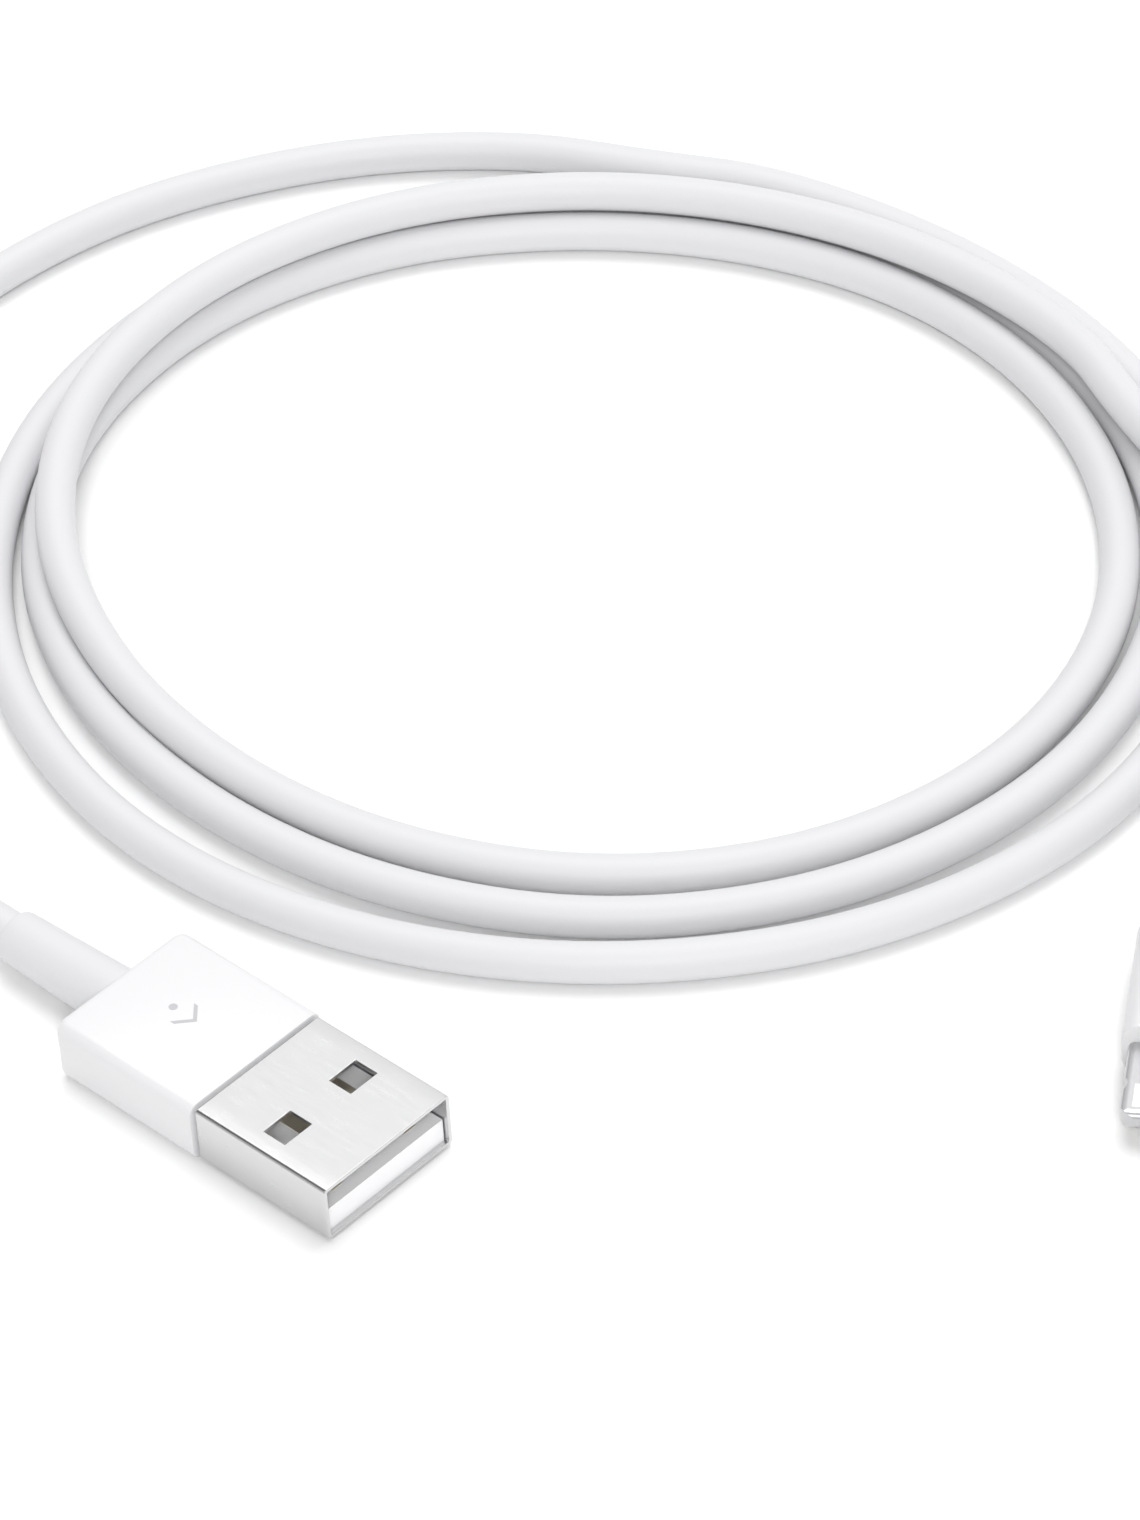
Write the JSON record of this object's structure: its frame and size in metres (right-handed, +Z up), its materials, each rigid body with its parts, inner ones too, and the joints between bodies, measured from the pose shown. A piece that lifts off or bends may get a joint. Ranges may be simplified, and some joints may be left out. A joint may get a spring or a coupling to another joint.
{
  "type": "charging cable",
  "caption": "White round charging cable wound in a flat oval coil, with a flat metal type-A plug at one end and a slim reversible tab plug for a phone at the other.",
  "frame": {"origin": "on the table under the middle of the type-A plug, from its mouth to the end of its strain relief", "axes": "+X towards the type-A plug's mouth, +Z up from the table; the coil lies on the +Y side"},
  "size_m": [0.1337, 0.1089, 0.0062],
  "materials": {
    "shell_steel": "satin",
    "tab_steel": "satin",
    "shield_tinplate": "satin",
    "braid_wire": "satin",
    "solder": "satin",
    "gold_plate": "gloss",
    "copper": "satin",
    "white_plastic": "gloss",
    "white_jacket": "satin",
    "tongue_plastic": "satin",
    "insulator_plastic": "gloss",
    "fill_plastic": "matte",
    "board_green": "satin",
    "chip_black": "matte",
    "capacitor_tan": "matte",
    "wire_red": "satin",
    "wire_white": "satin",
    "wire_green": "satin",
    "wire_black": "satin"
  },
  "bodies": {
    "root": {"usb_shell": "shell_steel", "usb_tongue": "tongue_plastic", "usb_contact_power": "gold_plate", "usb_contact_data_minus": "gold_plate", "usb_contact_data_plus": "gold_plate", "usb_contact_ground": "gold_plate", "usb_shield_upper": "shield_tinplate", "usb_shield_lower": "shield_tinplate", "usb_inner_mould": "fill_plastic", "usb_housing": "white_plastic", "usb_strain_relief": "white_jacket", "usb_crimp_ring": "shield_tinplate", "usb_braid": "braid_wire", "usb_wire_red": "wire_red", "usb_wire_white": "wire_white", "usb_wire_green": "wire_green", "usb_wire_black": "wire_black", "usb_wire_cores": "copper", "usb_solder_joints": "solder", "usb_jacket_end": "white_jacket", "phone_plug_frame": "tab_steel", "phone_plug_insulator": "insulator_plastic", "phone_contacts_top": "gold_plate", "phone_contacts_bottom": "gold_plate", "phone_board": "board_green", "phone_controller_chip": "chip_black", "phone_power_chip": "chip_black", "phone_board_capacitors": "capacitor_tan", "phone_shield_upper": "shield_tinplate", "phone_shield_lower": "shield_tinplate", "phone_inner_mould": "fill_plastic", "phone_housing": "white_plastic", "phone_strain_relief": "white_jacket", "phone_crimp_ring": "shield_tinplate", "phone_braid": "braid_wire", "phone_wire_red": "wire_red", "phone_wire_white": "wire_white", "phone_wire_green": "wire_green", "phone_wire_black": "wire_black", "phone_wire_cores": "copper", "phone_solder_joints": "solder", "phone_jacket_end": "white_jacket", "cable_coil": "white_jacket", "cable_lead_usb": "white_jacket", "cable_lead_phone": "white_jacket"}
  },
  "joints": []
}
